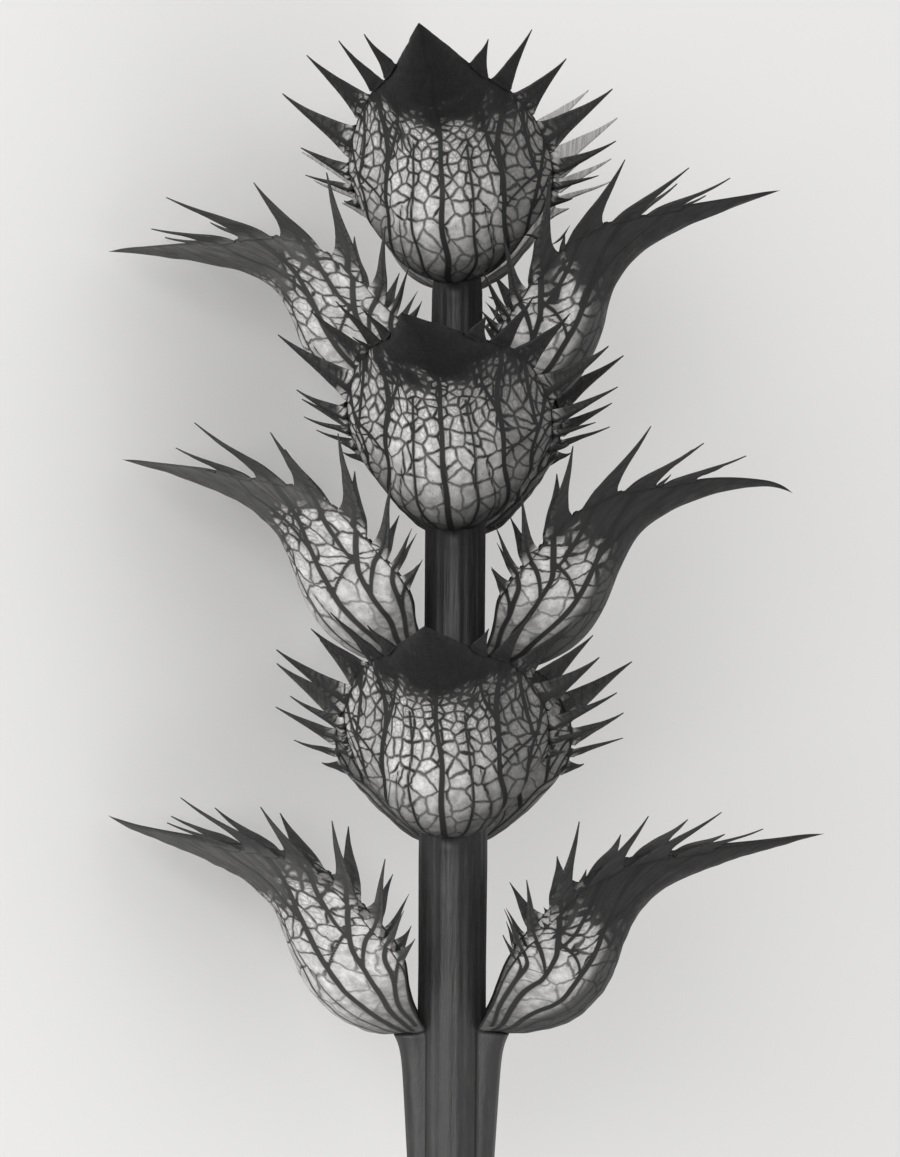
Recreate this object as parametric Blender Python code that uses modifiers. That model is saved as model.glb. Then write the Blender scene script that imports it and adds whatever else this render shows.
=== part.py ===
"""A cut length of an acanthus flower spike, stripped of its flowers, lying on a flat surface.

A ribbed stem carries twelve spiny bracts in crossed pairs. Each bract is a thin cup that opens
towards the tip of the spike and runs out into a long, channelled, recurved blade.

Frame: +Y runs along the stem from its cut end to the tip, +Z is up, and the origin is the middle
of the bounding box's floor. The spike lies on the blade tips of its left and rear rows.
Every bract is modelled about its own foot: x across it, y along the stem, z away from the stem.
"""
import math
from collections import namedtuple

import bmesh
import bpy
import numpy as np
from mathutils import Vector

MM = 0.001

# Stem, in mm: radius at heights above the cut end.
STEM_HEIGHTS = (0.0, 14.0, 31.0, 50.0, 64.0, 77.0, 88.0, 94.5)
STEM_RADII = (3.35, 3.4, 3.3, 2.95, 2.8, 2.65, 2.5, 1.9)
STEM_TOP = 95.0
STEM_SIDES = 32
RING_STEP = 5.0
SHOULDER_DROP = 2.0          # a rib ends this far below the bract that it carries
SHOULDER_LENGTH = 0.9
RIB_HALF_ANGLE = 0.42        # radians
RING_CLEARANCE = 1.5         # mm that an evenly spaced ring keeps from a shoulder
LOWEST_PAIR = 20.0           # bracts below this height in mm carry the widest ribs

# Thin dry tissue, and the clearance between a bract's foot and the stem.
BRACT_THICKNESS = 0.6
GAP = 0.3
FOOT_HALF_ANGLE = math.radians(48)
FOOT_SAMPLES = (-1.0, -0.75, -0.5, 0.0, 0.5, 0.75, 1.0)

# The midrib's heading in degrees, 0 straight out from the stem and 90 along it.
POUCH_LENGTH = 20.0
POUCH_STATIONS = (0.0, 0.12, 0.30, 0.45, 0.60, 0.74, 0.87, 1.0)
POUCH_HEADINGS = (-4, 0, 21, 39, 53, 67, 72, 64)
STEEP_RAMP = (3.0, 0.6)       # slope and start of a steeper pouch's extra turn, along the pouch
FLOOR_PLACE = (0.38, 0.16)    # middle and spread of a flatter pouch floor, along the pouch
BLADE_STATIONS = (0.0, 0.14, 0.30, 0.53, 0.83, 1.0)

# The margin's place beside the midrib: station, then mm across, mm inward and mm forward.
MARGIN_STATIONS = (0.00, 0.08, 0.16, 0.25, 0.34, 0.42, 0.50, 0.57, 0.66, 0.78, 0.90, 0.97)
MARGIN_ACROSS = (3.2, 5.5, 7.8, 9.7, 10.2, 10.0, 8.4, 6.8, 4.8, 3.0, 1.5, 0.5)
MARGIN_INWARD = (0.4, 3.5, 7.2, 9.2, 9.2, 7.9, 5.8, 4.3, 2.7, 1.7, 0.8, 0.3)
MARGIN_FORWARD = (-2.7, -2.7, -2.9, -1.5, 0.5, 2.0, 2.6, 1.6, 0.8, 0.5, 0.2, 0.1)
WIDTH_GROWN = 0.2             # station from which a bract has its whole width factor

# Half a section through the pouch: a rounded back up to the keel, then a flaring wing.
SECTION_TURNS = (0.0, 0.125, 0.25, 0.375, 0.50, 0.75, 1.0)
SECTION_ACROSS = (0.0, 0.178, 0.340, 0.475, 0.570, 0.84, 1.0)
SECTION_DEPTH = (0.0, 0.022, 0.088, 0.190, 0.327, 0.67, 1.0)
SECTION_STARTS = (0.03, 0.14)        # stations over which the depth, and then the width, takes this form
SECTION_WIDTH_STARTS = (0.12, 0.32)
SECTION_ENDS = (0.52, 0.74)

CROSS_TURNS = (-1.0, -0.75, -0.5, -0.25, 0.0, 0.25, 0.5, 0.75, 1.0)
FOOT_STATIONS = (0.0, 0.08, 0.15, 0.21)
TIP_STATIONS = (0.86, 0.97)

# Spines on each margin, from foot to tip: the station where each base ends, and how far the
# point lies from the base across, inward and forward, in mm. The first base starts at the last
# foot station.
Spine = namedtuple("Spine", "end across inward forward")
SPINES = (
    Spine(0.275, 3.8, 3.2, -0.2),
    Spine(0.325, 7.8, 5.3, 1.8),
    Spine(0.400, 7.9, 5.0, 6.0),
    Spine(0.480, 7.3, 2.1, 9.0),
    Spine(0.565, 5.1, 0.3, 8.6),
    Spine(0.645, 3.0, 0.1, 9.2),
    Spine(0.745, 1.3, 0.0, 7.0),
)
SPINE_STEPS = (0.35, 1.0)
SPINE_WIDTHS = (0.36, 0.10)   # share of the base's width at each step

# Rows round the stem, as turns about it in degrees from straight up.
ROWS = {"front": -45.0, "right": 45.0, "rear": 135.0, "left": -135.0}

# Bracts: foot height in mm, apex distance from the stem's axis, extra steepness of the pouch and
# flatness of its floor in degrees, the blade's headings, turn about the stem in degrees from its
# row, sideways sweep of the apex in mm, width factor, and how far the spines of the left and
# right margins spread sideways, from 0 to 1.
Bract = namedtuple("Bract", "name row height reach steep floor blade turn sway width spread")
BRACTS = (
    Bract("front_bract_1", "front", 88.7, 33.0, 2, 0, (49, 34, 27, 25, 32), -6, -0.4, 1.0, (0.0, 0.0)),
    Bract("rear_bract_1", "rear", 88.2, 34.6, 0, 0, (47, 32, 24, 24, 34), 0, 0.0, 1.0, (0.0, 0.0)),
    Bract("left_bract_1", "left", 75.6, 34.9, -3, 0, (34, 14, 9, 7, 2), 0, 0.0, 0.95, (0.4, 0.0)),
    Bract("right_bract_1", "right", 76.2, 32.2, 6, 0, (48, 34, 23, 21, 22), 0, 0.0, 0.92, (0.0, 0.4)),
    Bract("front_bract_2", "front", 64.2, 33.0, 0, 0, (45, 28, 20, 20, 26), -4, -3.0, 1.0, (0.0, 0.0)),
    Bract("rear_bract_2", "rear", 63.4, 33.6, 0, 0, (44, 28, 20, 17, 18), -4, 0.0, 1.0, (0.0, 0.0)),
    Bract("left_bract_2", "left", 50.8, 33.4, 0, 0, (46, 32, 20, 17, 17), 0, 0.0, 1.0, (0.4, 0.0)),
    Bract("right_bract_2", "right", 50.4, 33.7, 0, 0, (46, 30, 18, 4, -25), 0, 0.0, 1.0, (0.0, 0.4)),
    Bract("front_bract_3", "front", 33.7, 33.0, 0, 0, (47, 32, 24, 22, 30), -5, 0.0, 1.0, (0.0, 0.0)),
    Bract("rear_bract_3", "rear", 32.2, 34.6, 0, 0, (44, 30, 21, 17, 18), 0, 0.0, 1.18, (0.0, 0.0)),
    Bract("left_bract_3", "left", 13.8, 34.5, 0, 0, (45, 29, 21, 23, 36), 0, 0.0, 1.0, (0.4, 0.0)),
    Bract("right_bract_3", "right", 14.0, 37.1, 0, 10, (47, 26, 17, 18, 15), 0, 0.0, 1.0, (0.0, 0.6)),
)

# How each row's spines fan out: factors across and along the stem at the lowest and the highest
# spine, and how far they lean outwards as a share of their length.
Fan = namedtuple("Fan", "across lift out")
SIDE_FAN = Fan((1.0, 0.95), (0.95, 0.85), (0.14, -0.05))
FACE_FAN = Fan((0.45, 1.25), (0.25, 0.75), (0.0, 0.0))
FANS = {"front": FACE_FAN, "rear": FACE_FAN, "left": SIDE_FAN, "right": SIDE_FAN}
SPINE_VARIETY = 0.12          # how much neighbouring spines differ in length
SPINE_RHYTHM = 2.4            # radians from one spine to the next in that variation

LOWEST_RIB = 1.7              # how far the ribs below the lowest pair stand out, in mm
UPPER_RIB = 0.35
RIB_FADE = 30.0               # mm over which a rib sinks back into the stem below a bract

# Dried threads left by the flowers: points as right, front and height in mm, and their radius.
THREAD_RADIUS = 0.25
THREADS = {
    "dried_thread_1": ((4.2, -2.0, 92.2), (5.6, -2.6, 93.6), (7.4, -3.0, 93.9), (9.0, -3.6, 93.0),
                       (10.3, -4.2, 93.6), (11.3, -4.4, 95.0)),
    "dried_thread_2": ((2.9, 2.6, 84.4), (3.8, 2.6, 85.4), (3.9, 2.9, 87.0), (3.1, 3.3, 87.4)),
}


def clear_scene():
    for old in list(bpy.data.objects):
        bpy.data.objects.remove(old)


def make_material(name, colour, roughness):
    material = bpy.data.materials.new(name)
    material.use_nodes = True
    shader = material.node_tree.nodes["Principled BSDF"]
    shader.inputs["Base Color"].default_value = (*colour, 1.0)
    shader.inputs["Roughness"].default_value = roughness
    shader.inputs["Metallic"].default_value = 0.0
    return material


def add_object(name, data, collection, parent, material):
    item = bpy.data.objects.new(name, data)
    item.parent = parent
    data.materials.append(material)
    collection.objects.link(item)
    return item


def stem_radius(height):
    return float(np.interp(height, STEM_HEIGHTS, STEM_RADII))


def row_angle(bract):
    return math.radians(ROWS[bract.row] + bract.turn)


def rib_height(height, angle):
    """How far the ribs that run down from the bracts stand out of the stem at one point."""
    total = 0.0
    for bract in BRACTS:
        below = bract.height - SHOULDER_DROP - height
        if below <= -SHOULDER_LENGTH:
            continue
        size = LOWEST_RIB if bract.height < LOWEST_PAIR else UPPER_RIB
        rise = min(1.0, (below + SHOULDER_LENGTH) / SHOULDER_LENGTH)
        fade = max(0.0, 1.0 - max(below, 0.0) / RIB_FADE)
        turn = angle - row_angle(bract)
        turn = math.atan2(math.sin(turn), math.cos(turn))
        total += size * rise * fade * math.exp(-(turn / RIB_HALF_ANGLE) ** 2)
    return total


def foot_radius(bract):
    """The radius of a bract's foot, just clear of the stem and its ribs all round."""
    middle = row_angle(bract)
    around = [rib_height(bract.height, middle + FOOT_HALF_ANGLE * share) for share in FOOT_SAMPLES]
    return stem_radius(bract.height) + max(around) + GAP


def ring_heights():
    """Rings up the stem: evenly spaced, with a close set where each pair's ribs end."""
    heights = set(np.arange(0.0, STEM_TOP, RING_STEP))
    for bract in BRACTS:
        shoulder = bract.height - SHOULDER_DROP
        heights = {h for h in heights if abs(h - shoulder) > RING_CLEARANCE}
    for bract in BRACTS:
        if bract.row in ("front", "left"):
            heights |= {bract.height - SHOULDER_DROP, bract.height - SHOULDER_DROP + SHOULDER_LENGTH}
    heights.add(STEM_TOP)
    return sorted(heights)


def build_stem(collection, parent, material):
    """A loft of ribbed rings, closed by a flat cut below and a blunt end above."""
    shape = bmesh.new()
    rings = []
    for height in ring_heights():
        ring = []
        for side in range(STEM_SIDES):
            angle = math.tau * side / STEM_SIDES
            radius = stem_radius(height) + rib_height(height, angle)
            place = Vector((radius * math.sin(angle), height, radius * math.cos(angle)))
            ring.append(shape.verts.new(place * MM))
        rings.append(ring)
    for lower, upper in zip(rings, rings[1:]):
        for side in range(STEM_SIDES):
            after = (side + 1) % STEM_SIDES
            shape.faces.new((lower[side], lower[after], upper[after], upper[side]))
    shape.faces.new(rings[0][::-1])
    shape.faces.new(rings[-1])
    bmesh.ops.recalc_face_normals(shape, faces=shape.faces)
    mesh = bpy.data.meshes.new("stem")
    shape.to_mesh(mesh)
    shape.free()
    mesh.shade_smooth()
    mesh.set_sharp_from_angle(angle=math.radians(40))
    return add_object("stem", mesh, collection, parent, material)


def smooth_value(station, stations, values):
    """Cubic interpolation with slopes from the neighbouring points."""
    x = np.asarray(stations, float)
    y = np.asarray(values, float)
    slopes = np.gradient(y, x)
    i = int(np.clip(np.searchsorted(x, station) - 1, 0, len(x) - 2))
    width = x[i + 1] - x[i]
    f = min(max((station - x[i]) / width, 0.0), 1.0)
    start = (1 + 2 * f) * (1 - f) ** 2 * y[i] + f * (1 - f) ** 2 * width * slopes[i]
    end = f * f * (3 - 2 * f) * y[i + 1] + f * f * (f - 1) * width * slopes[i + 1]
    return float(start + end)


class Midrib:
    """The curve down a bract's back, from its foot on the stem to its apex."""

    STEPS = 200

    def __init__(self, bract):
        half = self.STEPS // 2
        share = (np.arange(half) + 0.5) / half
        pouch = np.interp(share, POUCH_STATIONS, POUCH_HEADINGS)
        slope, start = STEEP_RAMP
        pouch = pouch + bract.steep * np.clip(share * slope - start, 0, 1)
        middle, spread = FLOOR_PLACE
        pouch = pouch - bract.floor * np.exp(-((share - middle) / spread) ** 2)
        blade = np.interp(share, BLADE_STATIONS, (pouch[-1], *bract.blade))
        foot = foot_radius(bract)
        pouch_out = foot + np.cumsum(np.cos(np.radians(pouch))) * POUCH_LENGTH / half
        blade_out = np.cumsum(np.cos(np.radians(blade)))
        blade_step = (bract.reach - pouch_out[-1]) / blade_out[-1]
        steps = np.array([POUCH_LENGTH / half] * half + [blade_step] * half)
        headings = np.radians(np.concatenate([pouch, blade]))
        self.stations = np.linspace(0, 1, self.STEPS + 1)
        self.out = foot + np.concatenate([[0], np.cumsum(np.cos(headings) * steps)])
        self.up = np.concatenate([[0], np.cumsum(np.sin(headings) * steps)])
        self.headings = np.interp(self.stations, (self.stations[1:] + self.stations[:-1]) / 2, headings)

    def at(self, station):
        out = float(np.interp(station, self.stations, self.out))
        up = float(np.interp(station, self.stations, self.up))
        heading = float(np.interp(station, self.stations, self.headings))
        forward = Vector((0, math.sin(heading), math.cos(heading)))
        inward = Vector((0, math.cos(heading), -math.sin(heading)))
        return Vector((0, up, out)), inward, forward


def ease(low, high, value):
    """A smooth step from 0 at low to 1 at high."""
    share = min(max((value - low) / (high - low), 0.0), 1.0)
    return share * share * (3 - 2 * share)


def section(turn, station):
    """How far out and how deep a section is at a turn, from a half oval to the keeled form and back."""
    share = abs(turn)
    oval = math.sin(share * math.pi / 2)
    sunk = 1 - math.cos(share * math.pi / 2)
    fade = 1 - ease(*SECTION_ENDS, station)
    wide = ease(*SECTION_WIDTH_STARTS, station) * fade
    deep = ease(*SECTION_STARTS, station) * fade
    across = oval + (smooth_value(share, SECTION_TURNS, SECTION_ACROSS) - oval) * wide
    depth = sunk + (smooth_value(share, SECTION_TURNS, SECTION_DEPTH) - sunk) * deep
    return math.copysign(across, turn), depth


def bract_point(bract, midrib, station, turn):
    """A point of the bract's sheet; turn runs from -1 at the left margin to 1 at the right."""
    place, inward, forward = midrib.at(station)
    sideways, depth = section(turn, station)
    foot = foot_radius(bract)
    across = smooth_value(station, MARGIN_STATIONS, (foot * math.sin(FOOT_HALF_ANGLE), *MARGIN_ACROSS[1:]))
    back = smooth_value(station, MARGIN_STATIONS, MARGIN_INWARD)
    ahead = smooth_value(station, MARGIN_STATIONS,
                         (-foot * (1 - math.cos(FOOT_HALF_ANGLE)), *MARGIN_FORWARD[1:]))
    grown = bract.width ** min(1.0, station / WIDTH_GROWN)
    point = place + (inward * back + forward * ahead) * depth
    point.x += across * grown * sideways + bract.sway * station ** 3
    return point


def build_bract(bract, collection, parent, material):
    """The bract's open sheet with its marginal spines, thickened by a Solidify modifier."""
    midrib = Midrib(bract)
    stations = list(FOOT_STATIONS)
    starts = []
    for spine in SPINES:
        starts.append(len(stations) - 1)
        stations += [(stations[-1] + spine.end) / 2, spine.end]
    stations += TIP_STATIONS
    cells = len(CROSS_TURNS) - 1
    shape = bmesh.new()
    grid = [[shape.verts.new(bract_point(bract, midrib, s, t) * MM) for t in CROSS_TURNS] for s in stations]
    for lower, upper in zip(grid, grid[1:]):
        for i in range(cells):
            shape.faces.new((lower[i], upper[i], upper[i + 1], lower[i + 1]))
    apex = shape.verts.new(bract_point(bract, midrib, 1.0, 0.0) * MM)
    for i in range(cells):
        shape.faces.new((grid[-1][i], apex, grid[-1][i + 1]))
    for side in (-1, 1):
        for number, start in enumerate(starts):
            base = [row[0 if side < 0 else cells] for row in grid[start:start + 3]]
            add_spine(shape, bract, midrib, number, stations[start:start + 3], side, base)
    bmesh.ops.recalc_face_normals(shape, faces=shape.faces)
    mesh = bpy.data.meshes.new(bract.name)
    shape.to_mesh(mesh)
    shape.free()
    mesh.shade_smooth()
    item = add_object(bract.name, mesh, collection, parent, material)
    item.location = (0, bract.height * MM, 0)
    item.rotation_euler = (0, row_angle(bract), 0)
    solidify = item.modifiers.new("tissue", "SOLIDIFY")
    solidify.thickness = BRACT_THICKNESS * MM
    solidify.offset = 1.0
    return item


def spine_way(bract, midrib, number, station, side):
    """The line from the middle of a spine's base to its point."""
    spine = SPINES[number]
    share = number / (len(SPINES) - 1)
    across, lift, out = (low + (high - low) * share for low, high in FANS[bract.row])
    _, inward, forward = midrib.at(station)
    spread = bract.spread[0 if side < 0 else 1]
    length = math.hypot(spine.across, spine.inward, spine.forward)
    way = Vector((side * (spine.across + spread * length / 2), 0, 0))
    way += inward * spine.inward + forward * spine.forward * (1 - spread)
    way *= length / way.length
    way = Vector((way.x * across, way.y * lift, way.z + out * length))
    return way * (1 + SPINE_VARIETY * math.sin(SPINE_RHYTHM * number + side + bract.height))


def add_spine(shape, bract, midrib, number, stations, side, base):
    """One flat spine on three neighbouring margin vertices, tapering to a blunt point."""
    middle = stations[1]
    way = spine_way(bract, midrib, number, middle, side)
    last = base
    for reach, width in zip(SPINE_STEPS, SPINE_WIDTHS):
        step = []
        for station in (stations[0], middle, stations[2]):
            place = bract_point(bract, midrib, middle + (station - middle) * width, side)
            step.append(shape.verts.new((place + way * reach) * MM))
        for i in range(2):
            shape.faces.new((last[i], last[i + 1], step[i + 1], step[i]))
        last = step


def build_thread(name, points, collection, parent, material):
    """A stiff dry thread: a round curve with filled ends."""
    turn = math.radians(ROWS["right"])
    curve = bpy.data.curves.new(name, "CURVE")
    curve.dimensions = "3D"
    curve.bevel_depth = THREAD_RADIUS * MM
    curve.bevel_resolution = 1
    curve.use_fill_caps = True
    spline = curve.splines.new("POLY")
    spline.points.add(len(points) - 1)
    for target, (right, front, height) in zip(spline.points, points):
        x = right * math.sin(turn) - front * math.sin(turn)
        z = right * math.cos(turn) + front * math.cos(turn)
        target.co = (x * MM, height * MM, z * MM, 1.0)
    return add_object(name, curve, collection, parent, material)


def centre_on_floor(parent, items):
    """Move the whole spike so that its box stands on the floor over the origin."""
    bpy.context.view_layer.update()
    graph = bpy.context.evaluated_depsgraph_get()
    corners = []
    for item in items:
        solid = item.evaluated_get(graph)
        corners += [item.matrix_world @ vertex.co for vertex in solid.to_mesh().vertices]
        solid.to_mesh_clear()
    low = Vector([min(c[i] for c in corners) for i in range(3)])
    high = Vector([max(c[i] for c in corners) for i in range(3)])
    parent.location = (-(low.x + high.x) / 2, -(low.y + high.y) / 2, -low.z)


def main():
    clear_scene()
    collection = bpy.data.collections.new("acanthus_flower_spike")
    bpy.context.scene.collection.children.link(collection)
    spike = bpy.data.objects.new("spike_axis", None)
    collection.objects.link(spike)
    items = [build_stem(collection, spike, make_material("stem", (0.055, 0.052, 0.050), 0.6))]
    for bract in BRACTS:
        tissue = make_material(bract.name, (0.42, 0.41, 0.39), 0.65)
        items.append(build_bract(bract, collection, spike, tissue))
    for name, points in THREADS.items():
        dry = make_material(name, (0.10, 0.095, 0.09), 0.7)
        items.append(build_thread(name, points, collection, spike, dry))
    centre_on_floor(spike, items)
    bpy.context.view_layer.update()


main()
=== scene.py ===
"""The looks of a cut acanthus flower spike that lies on a pale floor.

Twelve spiny, net-veined bracts in crossed pairs stand round a dark ribbed stem. Lengths are in
millimetres along the spike's own axes (across, along the stem, away from the stem) until a
piece is placed in the frame, which is in metres.
"""
import math
from collections import namedtuple

import bpy
import numpy as np
from mathutils import Matrix, Vector


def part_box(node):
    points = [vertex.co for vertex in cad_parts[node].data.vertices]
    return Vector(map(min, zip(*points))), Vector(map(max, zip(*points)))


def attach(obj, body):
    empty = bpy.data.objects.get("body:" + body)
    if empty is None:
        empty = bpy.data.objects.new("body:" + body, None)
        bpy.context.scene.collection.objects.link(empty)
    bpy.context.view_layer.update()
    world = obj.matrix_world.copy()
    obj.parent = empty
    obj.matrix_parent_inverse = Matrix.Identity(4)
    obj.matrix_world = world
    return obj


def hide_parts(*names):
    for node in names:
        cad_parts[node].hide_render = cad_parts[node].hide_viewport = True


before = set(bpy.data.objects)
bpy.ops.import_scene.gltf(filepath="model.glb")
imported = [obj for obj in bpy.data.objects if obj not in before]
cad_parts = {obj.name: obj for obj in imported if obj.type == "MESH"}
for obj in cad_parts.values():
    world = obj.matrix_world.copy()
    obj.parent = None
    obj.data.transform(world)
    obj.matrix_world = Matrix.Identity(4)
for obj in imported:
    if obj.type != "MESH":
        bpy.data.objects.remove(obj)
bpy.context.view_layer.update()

MM = 0.001

# ---- The spike's form, as the CAD model has it ------------------------------------------------

# Stem, in mm: radius at heights above the cut end.
STEM_HEIGHTS = (0.0, 14.0, 31.0, 50.0, 64.0, 77.0, 88.0, 94.5)
STEM_RADII = (3.35, 3.4, 3.3, 2.95, 2.8, 2.65, 2.5, 1.9)
STEM_TOP = 95.0
LOWEST_PAIR = 20.0            # bracts below this height carry the widest ribs
SHOULDER_DROP = 2.0           # a rib ends this far below the bract that it carries
SHOULDER_LENGTH = 0.9
RIB_HALF_ANGLE = 0.42         # radians
LOWEST_RIB = 1.7
UPPER_RIB = 0.35
RIB_FADE = 30.0               # mm over which a rib sinks back into the stem below a bract
GAP = 0.3                     # mm between a bract's foot and the stem
FOOT_HALF_ANGLE = math.radians(48)

# The midrib's heading in degrees, 0 straight out from the stem and 90 along it.
POUCH_LENGTH = 20.0
POUCH_STATIONS = (0.0, 0.12, 0.30, 0.45, 0.60, 0.74, 0.87, 1.0)
POUCH_HEADINGS = (-4, 0, 21, 39, 53, 67, 72, 64)
STEEP_RAMP = (3.0, 0.6)       # slope and start of a steeper pouch's extra turn, along the pouch
FLOOR_PLACE = (0.38, 0.16)    # middle and spread of a flatter pouch floor, along the pouch
BLADE_STATIONS = (0.0, 0.14, 0.30, 0.53, 0.83, 1.0)

# The margin's place beside the midrib: station, then mm across, mm inward and mm forward.
MARGIN_STATIONS = (0.00, 0.08, 0.16, 0.25, 0.34, 0.42, 0.50, 0.57, 0.66, 0.78, 0.90, 0.97)
MARGIN_ACROSS = (3.2, 5.5, 7.8, 9.7, 10.2, 10.0, 8.4, 6.8, 4.8, 3.0, 1.5, 0.5)
MARGIN_INWARD = (0.4, 3.5, 7.2, 9.2, 9.2, 7.9, 5.8, 4.3, 2.7, 1.7, 0.8, 0.3)
MARGIN_FORWARD = (-2.7, -2.7, -2.9, -1.5, 0.5, 2.0, 2.6, 1.6, 0.8, 0.5, 0.2, 0.1)
WIDTH_GROWN = 0.2             # station from which a bract has its whole width factor

# Half a section through the pouch: a rounded back up to the keel, then a flaring wing.
SECTION_TURNS = (0.0, 0.125, 0.25, 0.375, 0.50, 0.75, 1.0)
SECTION_ACROSS = (0.0, 0.178, 0.340, 0.475, 0.570, 0.84, 1.0)
SECTION_DEPTH = (0.0, 0.022, 0.088, 0.190, 0.327, 0.67, 1.0)
SECTION_STARTS = (0.03, 0.14)        # stations over which the depth takes this form
SECTION_WIDTH_STARTS = (0.12, 0.32)  # stations over which the width takes this form
SECTION_ENDS = (0.52, 0.74)          # stations over which both go back to a half oval

# Spines on each margin, from foot to tip: the station where each base ends, and how far the
# point lies from the base across, inward and forward, in mm. The first base starts at
# FIRST_SPINE.
FIRST_SPINE = 0.21
Spine = namedtuple("Spine", "end across inward forward")
SPINES = (
    Spine(0.275, 3.8, 3.2, -0.2),
    Spine(0.325, 7.8, 5.3, 1.8),
    Spine(0.400, 7.9, 5.0, 6.0),
    Spine(0.480, 7.3, 2.1, 9.0),
    Spine(0.565, 5.1, 0.3, 8.6),
    Spine(0.645, 3.0, 0.1, 9.2),
    Spine(0.745, 1.3, 0.0, 7.0),
)

# Rows round the stem, as turns about it in degrees from straight up.
ROWS = {"front": -45.0, "right": 45.0, "rear": 135.0, "left": -135.0}

# Bracts: foot height in mm, apex distance from the stem's axis, extra steepness of the pouch and
# flatness of its floor in degrees, the blade's headings, turn about the stem in degrees from its
# row, sideways sweep of the apex in mm, width factor, and how far the spines of the left and
# right margins spread sideways, from 0 to 1.
Bract = namedtuple("Bract", "name row height reach steep floor blade turn sway width spread")
BRACTS = (
    Bract("front_bract_1", "front", 88.7, 33.0, 2, 0, (49, 34, 27, 25, 32), -6, -0.4, 1.0, (0.0, 0.0)),
    Bract("rear_bract_1", "rear", 88.2, 34.6, 0, 0, (47, 32, 24, 24, 34), 0, 0.0, 1.0, (0.0, 0.0)),
    Bract("left_bract_1", "left", 75.6, 34.9, -3, 0, (34, 14, 9, 7, 2), 0, 0.0, 0.95, (0.4, 0.0)),
    Bract("right_bract_1", "right", 76.2, 32.2, 6, 0, (48, 34, 23, 21, 22), 0, 0.0, 0.92, (0.0, 0.4)),
    Bract("front_bract_2", "front", 64.2, 33.0, 0, 0, (45, 28, 20, 20, 26), -4, -3.0, 1.0, (0.0, 0.0)),
    Bract("rear_bract_2", "rear", 63.4, 33.6, 0, 0, (44, 28, 20, 17, 18), -4, 0.0, 1.0, (0.0, 0.0)),
    Bract("left_bract_2", "left", 50.8, 33.4, 0, 0, (46, 32, 20, 17, 17), 0, 0.0, 1.0, (0.4, 0.0)),
    Bract("right_bract_2", "right", 50.4, 33.7, 0, 0, (46, 30, 18, 4, -25), 0, 0.0, 1.0, (0.0, 0.4)),
    Bract("front_bract_3", "front", 33.7, 33.0, 0, 0, (47, 32, 24, 22, 30), -5, 0.0, 1.0, (0.0, 0.0)),
    Bract("rear_bract_3", "rear", 32.2, 34.6, 0, 0, (44, 30, 21, 17, 18), 0, 0.0, 1.18, (0.0, 0.0)),
    Bract("left_bract_3", "left", 13.8, 34.5, 0, 0, (45, 29, 21, 23, 36), 0, 0.0, 1.0, (0.4, 0.0)),
    Bract("right_bract_3", "right", 14.0, 37.1, 0, 10, (47, 26, 17, 18, 15), 0, 0.0, 1.0, (0.0, 0.6)),
)

# How each row's spines fan out: factors across and along the stem at the lowest and the highest
# spine, and how far they lean outwards as a share of their length.
Fan = namedtuple("Fan", "across lift out")
SIDE_FAN = Fan((1.0, 0.95), (0.95, 0.85), (0.14, -0.05))
FACE_FAN = Fan((0.45, 1.25), (0.25, 0.75), (0.0, 0.0))
FANS = {"front": FACE_FAN, "rear": FACE_FAN, "left": SIDE_FAN, "right": SIDE_FAN}
SPINE_VARIETY = 0.12          # how much neighbouring spines differ in length
SPINE_RHYTHM = 2.4            # radians from one spine to the next in that variation

# ---- Fine form ---------------------------------------------------------------------------------

FOOT_ROWS = 30                # rows of the sheet below the first spine
SPINE_ROWS = 12               # rows along the base of each spine
GAP_ROWS = 2                  # rows along the bay between two spines
TIP_ROWS = 34                 # rows from the last spine to the apex
ACROSS_CELLS = 104
SPINE_STEPS = 16
BAY_HALF = 0.006              # half a bay between two spines, as a station
SPINE_POINT = 0.02            # share of the base's width left at a spine's point
FLOW_CELLS = 4                # cells of the sheet that set the direction in which a spine leaves it
FLOW = 0.42                   # how fully a spine follows that direction at first
SPINE_BEND = 0.9              # mm that a spine may curve, and the same for a minor spine
MINOR_BEND = 0.2
MINOR_CHANCE = 0.06           # share of the bays that hold a minor spine
MINOR_LENGTH = (0.8, 2.4)

SHEET_OFFSET = 0.08           # mm the inner face stands off the form's surface
MEMBRANE = 0.24
BLADE_TISSUE = 0.42
SPINE_TIP_TISSUE = 0.10
MIDRIB_RIDGE = 0.30
LATERAL_RIDGE = 0.20
MARGIN_LINE = 0.20            # width of the dark line round the margin
APEX_TAPER = 0.12             # last share of the length over which the tissue thins to a point
BLADE_STARTS = (0.42, 0.62)   # stations over which the thin membrane becomes the thick blade
CORE_HALF = 0.5               # mm from the middle of the sheet within which a vein is the midrib
CAP_SPREAD = 0.05             # how much lower, as a station, the dark cap reaches at the margins
VEIN_WANDER = 0.16            # mm that a main vein strays from its line
FAR = 1e9                     # a distance larger than any in the model

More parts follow.
